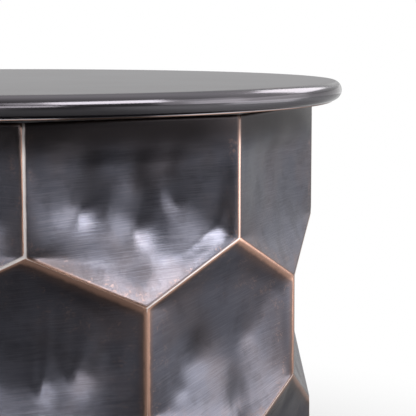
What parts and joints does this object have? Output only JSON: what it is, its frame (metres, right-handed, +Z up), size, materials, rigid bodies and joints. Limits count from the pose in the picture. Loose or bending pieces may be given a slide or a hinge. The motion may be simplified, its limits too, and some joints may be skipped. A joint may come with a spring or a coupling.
{
  "type": "storage coffee table",
  "caption": "Round drum coffee table with a honeycomb wall of dished, hammered metal facets, a storage space inside and a lift-off metal-wrapped lid with a half-round edge.",
  "frame": {"origin": "middle of the footprint, on the floor under the glides", "axes": "+Z up along the drum axis; -Y and +Y pass through ridges of the upper facet row, +X and -X through the middles of its facets"},
  "size_m": [0.762, 0.762, 0.457],
  "materials": {
    "patinated_sheet": "hammered, dark patinated sheet with copper rubbed through on the ridges",
    "lid_sheet": "satin patinated sheet with a copper lower lip",
    "black_iron": "blackened flat and angle bar",
    "fibreboard": "plain medium-density fibreboard",
    "hardwood": "sawn and sanded hardwood",
    "zinc_steel": "zinc-plated screws",
    "nylon": "black nylon"
  },
  "bodies": {
    "drum": {"upper_panel_01": "patinated_sheet", "upper_panel_02": "patinated_sheet", "upper_panel_03": "patinated_sheet", "upper_panel_04": "patinated_sheet", "upper_panel_05": "patinated_sheet", "upper_panel_06": "patinated_sheet", "upper_panel_07": "patinated_sheet", "upper_panel_08": "patinated_sheet", "upper_panel_09": "patinated_sheet", "upper_panel_10": "patinated_sheet", "middle_panel_01": "patinated_sheet", "middle_panel_02": "patinated_sheet", "middle_panel_03": "patinated_sheet", "middle_panel_04": "patinated_sheet", "middle_panel_05": "patinated_sheet", "middle_panel_06": "patinated_sheet", "middle_panel_07": "patinated_sheet", "middle_panel_08": "patinated_sheet", "middle_panel_09": "patinated_sheet", "middle_panel_10": "patinated_sheet", "lower_panel_01": "patinated_sheet", "lower_panel_02": "patinated_sheet", "lower_panel_03": "patinated_sheet", "lower_panel_04": "patinated_sheet", "lower_panel_05": "patinated_sheet", "lower_panel_06": "patinated_sheet", "lower_panel_07": "patinated_sheet", "lower_panel_08": "patinated_sheet", "lower_panel_09": "patinated_sheet", "lower_panel_10": "patinated_sheet", "top_hoop": "black_iron", "base_hoop": "black_iron", "floor_board": "fibreboard", "glide_1": "nylon", "glide_2": "nylon", "glide_3": "nylon", "glide_4": "nylon", "glide_5": "nylon"},
    "lid": {"lid_skin": "lid_sheet", "lid_core": "fibreboard", "lid_batten_1": "hardwood", "lid_batten_2": "hardwood", "lid_batten_3": "hardwood", "lid_batten_4": "hardwood", "lid_batten_5": "hardwood", "batten_screw_01": "zinc_steel", "batten_screw_02": "zinc_steel", "batten_screw_03": "zinc_steel", "batten_screw_04": "zinc_steel", "batten_screw_05": "zinc_steel", "batten_screw_06": "zinc_steel", "batten_screw_07": "zinc_steel", "batten_screw_08": "zinc_steel", "batten_screw_09": "zinc_steel", "batten_screw_10": "zinc_steel"}
  },
  "joints": [
    {"name": "lid_lift", "type": "slide", "parent": "drum", "child": "lid", "axis": [0, 0, 1], "range_m": [0, 0.3]}
  ]
}
